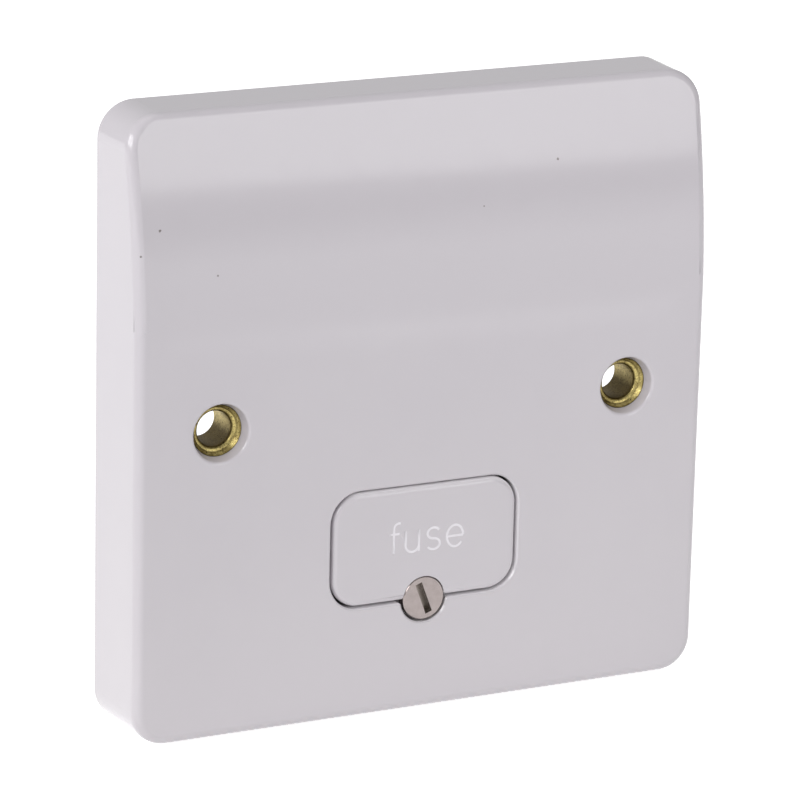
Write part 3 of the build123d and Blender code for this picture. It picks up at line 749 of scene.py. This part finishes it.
class SPUR_OT_finishes(bpy.types.Operator):
    """Gives every piece its material"""

    bl_idname = "spur.finishes"
    bl_label = "Finishes"

    def execute(self, context):
        made = {
            "white_moulding": white_moulding(),
            "rear_plastic": rear_plastic(),
            "tarnished_brass": tarnished_brass(),
            "nickel_screw": nickel_screw(),
            "fuse_body": fuse_body(),
        }
        for name, values in METALS.items():
            made[name] = metal(name, *values)
        slots = {part["node"]: part["material_slot"] for part in frame["record"]["subparts"]}
        pieces = dict(frame["nodes"])
        pieces["fuse_carrier"] = bpy.data.objects["fuse_carrier_engraved"]
        pieces["assembly_screws"] = bpy.data.objects["assembly_screws_recessed"]
        for node, piece in pieces.items():
            piece.data.materials.clear()
            piece.data.materials.append(made[slots[node]])
        return {"FINISHED"}


class SPUR_OT_stage(bpy.types.Operator):
    """Lays the floor, sets the lamps and places the camera"""

    bl_idname = "spur.stage"
    bl_label = "Stage"

    def execute(self, context):
        scene = context.scene
        scene.view_settings.view_transform = "Standard"
        self.floor()
        self.world(scene)
        for name, place, size, turn, brightness in LAMPS:
            self.lamp(name, Vector(place), size, radians(turn), brightness)
        bpy.data.objects["right_fill"].visible_glossy = False
        self.camera(scene)
        return {"FINISHED"}

    def floor(self):
        """White paper under the unit, which the camera and glossy surfaces see as a backdrop."""
        shape = bmesh.new()
        bmesh.ops.create_grid(shape, x_segments=2, y_segments=2, size=FLOOR_REACH)
        bmesh.ops.translate(shape, verts=shape.verts, vec=(0, 0, CAD_BOX[0][2]))
        floor = new_object("floor", shape)
        finish = Finish("floor_paper")
        finish.set(Roughness=0.9, Base_Color=linear(240, 240, 240))
        path = finish.node("ShaderNodeLightPath").outputs
        share = finish.math(
            "MAXIMUM", finish.product(path["Is Camera Ray"], FLOOR_GLOW), path["Is Glossy Ray"])
        share = finish.math("MAXIMUM", share, path["Is Transmission Ray"])
        glow = finish.node("ShaderNodeEmission", {"Color": (1, 1, 1, 1), "Strength": share})
        both = finish.node(
            "ShaderNodeAddShader", {0: finish.shader.outputs[0], 1: glow.outputs[0]})
        output = finish.tree.nodes["Material Output"]
        finish.tree.links.new(both.outputs[0], output.inputs["Surface"])
        floor.data.materials.append(finish.material)

    def world(self, scene):
        """Faint light from all round, and a white backdrop."""
        world = bpy.data.worlds.new("studio")
        scene.world = world
        world.use_nodes = True
        nodes = Nodes(world.node_tree)
        path = nodes.node("ShaderNodeLightPath").outputs
        mirrored = nodes.product(path["Is Glossy Ray"], SKY_IN_GLOSS)
        seen = nodes.math("MAXIMUM", path["Is Camera Ray"], mirrored)
        seen = nodes.math("MAXIMUM", seen, path["Is Transmission Ray"])
        background = nodes.tree.nodes["Background"]
        nodes.tree.links.new(
            nodes.ramp(seen, 0.0, 1.0, SKY_LIGHT, 1.0), background.inputs["Strength"])
        background.inputs["Color"].default_value = (1, 1, 1, 1)

    def lamp(self, name, place, size, turn, brightness):
        """A rectangular lamp that faces the origin."""
        lamp = bpy.data.lights.new(name, "AREA")
        lamp.shape = "RECTANGLE"
        lamp.size, lamp.size_y = size
        lamp.energy = brightness * pi * size[0] * size[1]
        holder = bpy.data.objects.new(name, lamp)
        bpy.context.scene.collection.objects.link(holder)
        holder.location = place
        facing = (-place).to_track_quat("-Z", "Y").to_matrix()
        holder.rotation_euler = (facing @ Matrix.Rotation(turn, 3, "Z")).to_euler()

    def camera(self, scene):
        """The camera, turned and tilted as it was for the photograph."""
        view = scene.spur_camera
        back = Vector((
            sin(view.azimuth) * cos(view.elevation),
            -cos(view.azimuth) * cos(view.elevation),
            sin(view.elevation),
        ))
        right = (-back).cross(Vector((0, 0, 1))).normalized()
        up = right.cross(-back)
        tilted_right = cos(view.roll) * right + sin(view.roll) * up
        tilted_up = cos(view.roll) * up - sin(view.roll) * right
        data = bpy.data.cameras.new("camera")
        data.sensor_width = SENSOR_WIDTH
        data.lens = view.focal_pixels * SENSOR_WIDTH / PHOTO_WIDTH
        data.clip_start = 0.01
        camera = bpy.data.objects.new("camera", data)
        scene.collection.objects.link(camera)
        axes = Matrix((tilted_right, tilted_up, back)).transposed()
        place = Vector(view.target) + back * view.distance
        camera.matrix_world = Matrix.Translation(place) @ axes.to_4x4()
        scene.camera = camera


class SPUR_PT_panel(bpy.types.Panel):
    """The sidebar panel that lists the steps and their values"""

    bl_idname = "SPUR_PT_panel"
    bl_label = "Spur Unit"
    bl_space_type = "VIEW_3D"
    bl_region_type = "UI"
    bl_category = "Spur Unit"

    def draw(self, context):
        for group in (getattr(context.scene, name) for name in GROUPS):
            box = self.layout.box()
            for name in group.__annotations__:
                box.prop(group, name)
        for operator in OPERATORS:
            self.layout.operator(operator.bl_idname)


GROUPS = {
    "spur_plastic": SpurPlastic,
    "spur_metal": SpurMetal,
    "spur_detail": SpurDetail,
    "spur_camera": SpurCamera,
}
OPERATORS = (SPUR_OT_fuse_door, SPUR_OT_assembly_screws, SPUR_OT_finishes, SPUR_OT_stage)


def register():
    for name, group in GROUPS.items():
        bpy.utils.register_class(group)
        setattr(bpy.types.Scene, name, bpy.props.PointerProperty(type=group))
    for operator in OPERATORS:
        bpy.utils.register_class(operator)
    bpy.utils.register_class(SPUR_PT_panel)


def unregister():
    bpy.utils.unregister_class(SPUR_PT_panel)
    for operator in reversed(OPERATORS):
        bpy.utils.unregister_class(operator)
    for name, group in GROUPS.items():
        delattr(bpy.types.Scene, name)
        bpy.utils.unregister_class(group)


def main():
    register()
    bpy.ops.spur.fuse_door()
    bpy.ops.spur.assembly_screws()
    bpy.ops.spur.finishes()
    bpy.ops.spur.stage()


if __name__ == "__main__":
    main()
